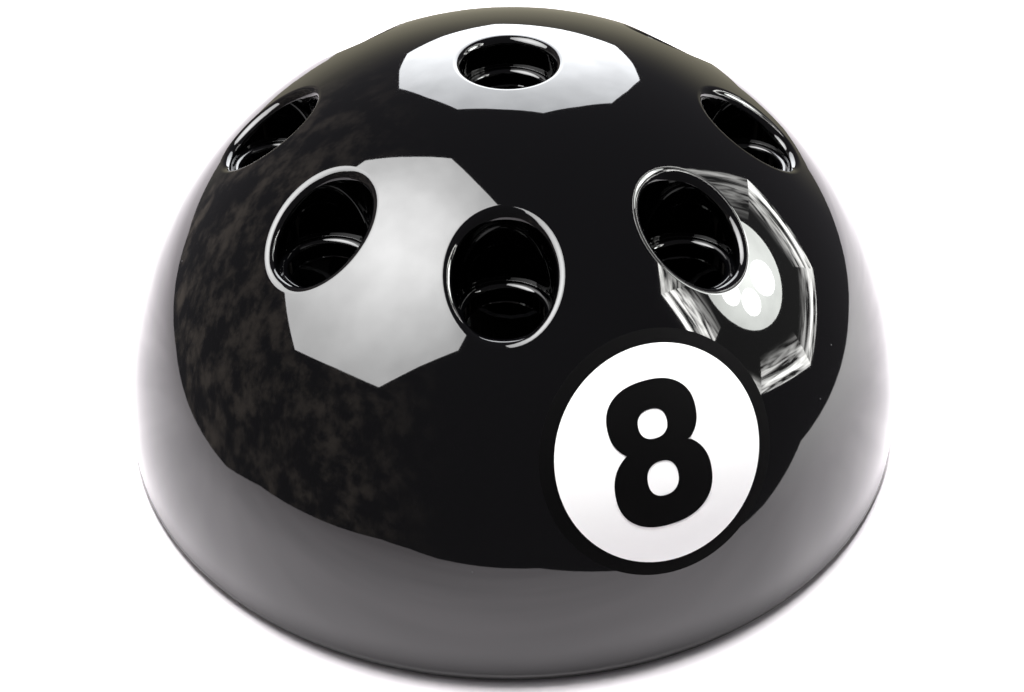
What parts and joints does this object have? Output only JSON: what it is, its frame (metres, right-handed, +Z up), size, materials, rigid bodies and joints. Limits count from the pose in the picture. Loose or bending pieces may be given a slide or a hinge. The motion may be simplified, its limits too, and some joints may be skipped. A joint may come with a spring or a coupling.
{
  "type": "cue and umbrella floor stand",
  "caption": "Glossy half-dome floor stand for cues or umbrellas, with a ring of stepped vertical sockets, one more at the pole, and a numbered white spot on the front.",
  "frame": {"origin": "on the floor, under the dome's pole", "axes": "+Z up along the axis of the middle socket; -Y towards the front, where the first socket of the ring is; +X to the right, seen from the front"},
  "size_m": [0.401, 0.401, 0.1964],
  "materials": {
    "gloss_shell": "high gloss black, moulded",
    "black_vinyl": "satin vinyl film",
    "white_vinyl": "satin vinyl film",
    "board": "black faced board, matte",
    "cup_plastic": "moulded, fine grain",
    "rubber": "matte",
    "zinc_steel": "zinc plated"
  },
  "bodies": {
    "root": {"dome_cap": "gloss_shell", "dome_skirt": "gloss_shell", "dome_panel_1": "gloss_shell", "dome_panel_2": "gloss_shell", "dome_panel_3": "gloss_shell", "dome_panel_4": "gloss_shell", "dome_panel_5": "gloss_shell", "dome_panel_6": "gloss_shell", "dome_panel_7": "gloss_shell", "dome_panel_8": "gloss_shell", "decal_backing": "black_vinyl", "decal_disc": "white_vinyl", "decal_numeral": "black_vinyl", "base_plate": "board", "tip_cup_1": "cup_plastic", "tip_pad_1": "rubber", "tip_cup_2": "cup_plastic", "tip_pad_2": "rubber", "tip_cup_3": "cup_plastic", "tip_pad_3": "rubber", "tip_cup_4": "cup_plastic", "tip_pad_4": "rubber", "tip_cup_5": "cup_plastic", "tip_pad_5": "rubber", "tip_cup_6": "cup_plastic", "tip_pad_6": "rubber", "tip_cup_7": "cup_plastic", "tip_pad_7": "rubber", "tip_cup_8": "cup_plastic", "tip_pad_8": "rubber", "tip_cup_center": "cup_plastic", "tip_pad_center": "rubber", "base_screw_1": "zinc_steel", "base_screw_2": "zinc_steel", "base_screw_3": "zinc_steel", "base_screw_4": "zinc_steel", "base_screw_5": "zinc_steel", "base_screw_6": "zinc_steel", "base_screw_7": "zinc_steel", "base_screw_8": "zinc_steel", "foot_1": "rubber", "foot_screw_1": "zinc_steel", "foot_2": "rubber", "foot_screw_2": "zinc_steel", "foot_3": "rubber", "foot_screw_3": "zinc_steel", "foot_4": "rubber", "foot_screw_4": "zinc_steel", "foot_5": "rubber", "foot_screw_5": "zinc_steel", "foot_6": "rubber", "foot_screw_6": "zinc_steel"}
  },
  "joints": []
}
